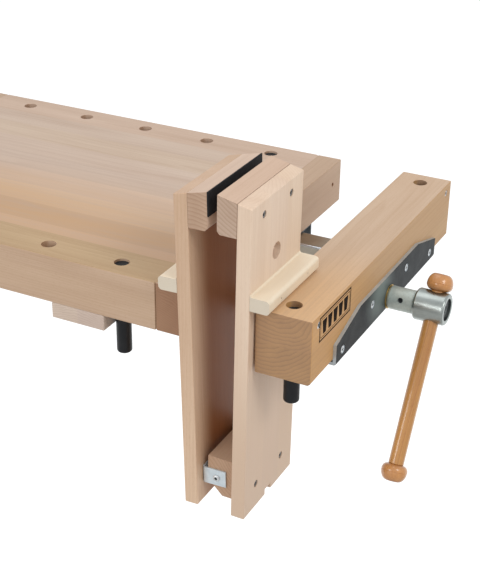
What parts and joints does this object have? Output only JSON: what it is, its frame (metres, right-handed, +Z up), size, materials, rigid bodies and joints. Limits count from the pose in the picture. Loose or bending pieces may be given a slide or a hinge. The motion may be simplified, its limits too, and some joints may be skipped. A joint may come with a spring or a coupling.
{
  "type": "joiner's workbench top with end vise and raised clamping jaws",
  "caption": "Solid beech bench top with rows of dog holes, a full-width end vise on one screw, and a tall two-board clamping attachment hinged at its heel and held in the vise.",
  "frame": {"origin": "centre of the underside of the vise-end batten, the face that the bench top stands on", "axes": "+X along the bench towards the vise, +Y across it away from the front, +Z up"},
  "size_m": [1.1252, 0.615, 0.5485],
  "materials": {
    "rail_wood": "satin oiled beech",
    "panel_wood": "satin oiled beech",
    "cap_wood": "satin oiled beech",
    "jaw_wood": "satin oiled beech",
    "board_wood": "smooth raw beech",
    "block_wood": "smooth raw beech",
    "ledge_wood": "smooth pale hardwood",
    "handle_wood": "gloss varnished beech",
    "dark_steel": "satin zinc plated",
    "zinc": "satin zinc plated",
    "spindle_steel": "turned and cast, zinc plated",
    "screw_steel": "zinc plated",
    "brass": "dull",
    "rubber": "matt",
    "dog_plastic": "matt"
  },
  "bodies": {
    "bench": {"top_panel": "panel_wood", "front_rail": "rail_wood", "rear_rail": "rail_wood", "vise_end_cap": "cap_wood", "plain_end_cap": "cap_wood", "vise_end_batten": "rail_wood", "plain_end_batten": "rail_wood", "batten_screws": "screw_steel", "end_cap_screws": "dark_steel", "vise_frame": "dark_steel", "near_guide_saddle": "dark_steel", "far_guide_saddle": "dark_steel", "frame_screws": "screw_steel", "spindle_nut": "dark_steel", "nut_screws": "screw_steel", "back_board": "board_wood", "back_jaw_block": "block_wood", "rubber_pad": "rubber", "back_ledge": "ledge_wood", "back_block_screws": "screw_steel", "bracket_guide_screws": "screw_steel"},
    "jaw": {"vise_jaw": "jaw_wood", "jaw_plate": "dark_steel", "jaw_plate_screws": "screw_steel", "jaw_face_screws": "screw_steel", "near_guide": "zinc", "far_guide": "zinc", "brass_bush": "brass"},
    "screw": {"spindle": "zinc", "spindle_head": "spindle_steel", "head_pin": "dark_steel", "retaining_collar": "dark_steel"},
    "handle": {"handle_bar": "handle_wood", "upper_knob": "handle_wood", "lower_knob": "handle_wood"},
    "brackets": {"near_hinge_bracket": "zinc", "far_hinge_bracket": "zinc"},
    "front_board": {"front_board": "board_wood", "front_jaw_block": "block_wood", "front_ledge": "ledge_wood", "ledge_nails": "screw_steel", "heel_block": "block_wood", "front_block_screws": "screw_steel", "heel_block_screws": "screw_steel", "pivot_screws": "screw_steel"},
    "near_bench_dog": {"near_bench_dog": "dog_plastic"},
    "far_bench_dog": {"far_bench_dog": "dog_plastic"},
    "near_jaw_dog": {"near_jaw_dog": "dog_plastic"},
    "far_jaw_dog": {"far_jaw_dog": "dog_plastic"}
  },
  "joints": [
    {"name": "screw_turn", "type": "hinge", "parent": "jaw", "child": "screw", "pos_m": [0.45, 0, 0.0145], "axis": [1, 0, 0], "range_deg": [-612, 2016]},
    {"name": "jaw_slide", "type": "slide", "parent": "bench", "child": "jaw", "axis": [1, 0, 0], "range_m": [-0.0086, 0.0282]},
    {"name": "bracket_lift", "type": "slide", "parent": "bench", "child": "brackets", "axis": [-0.0288, 0, 0.9996], "range_m": [-0.0028, 0.009]},
    {"name": "board_tilt", "type": "hinge", "parent": "brackets", "child": "front_board", "pos_m": [0.24983, 0, -0.21446], "axis": [0, 1, 0], "range_deg": [-1.6, 5.2]},
    {"name": "handle_slide", "type": "slide", "parent": "screw", "child": "handle", "axis": [0, 0.5, 0.866], "range_m": [0, 0.2345]},
    {"name": "near_bench_dog_lift", "type": "slide", "parent": "bench", "child": "near_bench_dog", "axis": [0, 0, 1], "range_m": [-0.01, 0.06]},
    {"name": "far_bench_dog_lift", "type": "slide", "parent": "bench", "child": "far_bench_dog", "axis": [0, 0, 1], "range_m": [-0.01, 0.06]},
    {"name": "near_jaw_dog_lift", "type": "slide", "parent": "jaw", "child": "near_jaw_dog", "axis": [0, 0, 1], "range_m": [-0.01, 0.06]},
    {"name": "far_jaw_dog_lift", "type": "slide", "parent": "jaw", "child": "far_jaw_dog", "axis": [0, 0, 1], "range_m": [-0.01, 0.06]}
  ],
  "couplings": [
    {"joint": "jaw_slide", "follows": "screw_turn", "m_per_rad": 0.00079577},
    {"joint": "bracket_lift", "follows": "screw_turn", "m_per_rad": 0.00025067},
    {"joint": "board_tilt", "follows": "screw_turn", "ratio": 0.0025694}
  ]
}
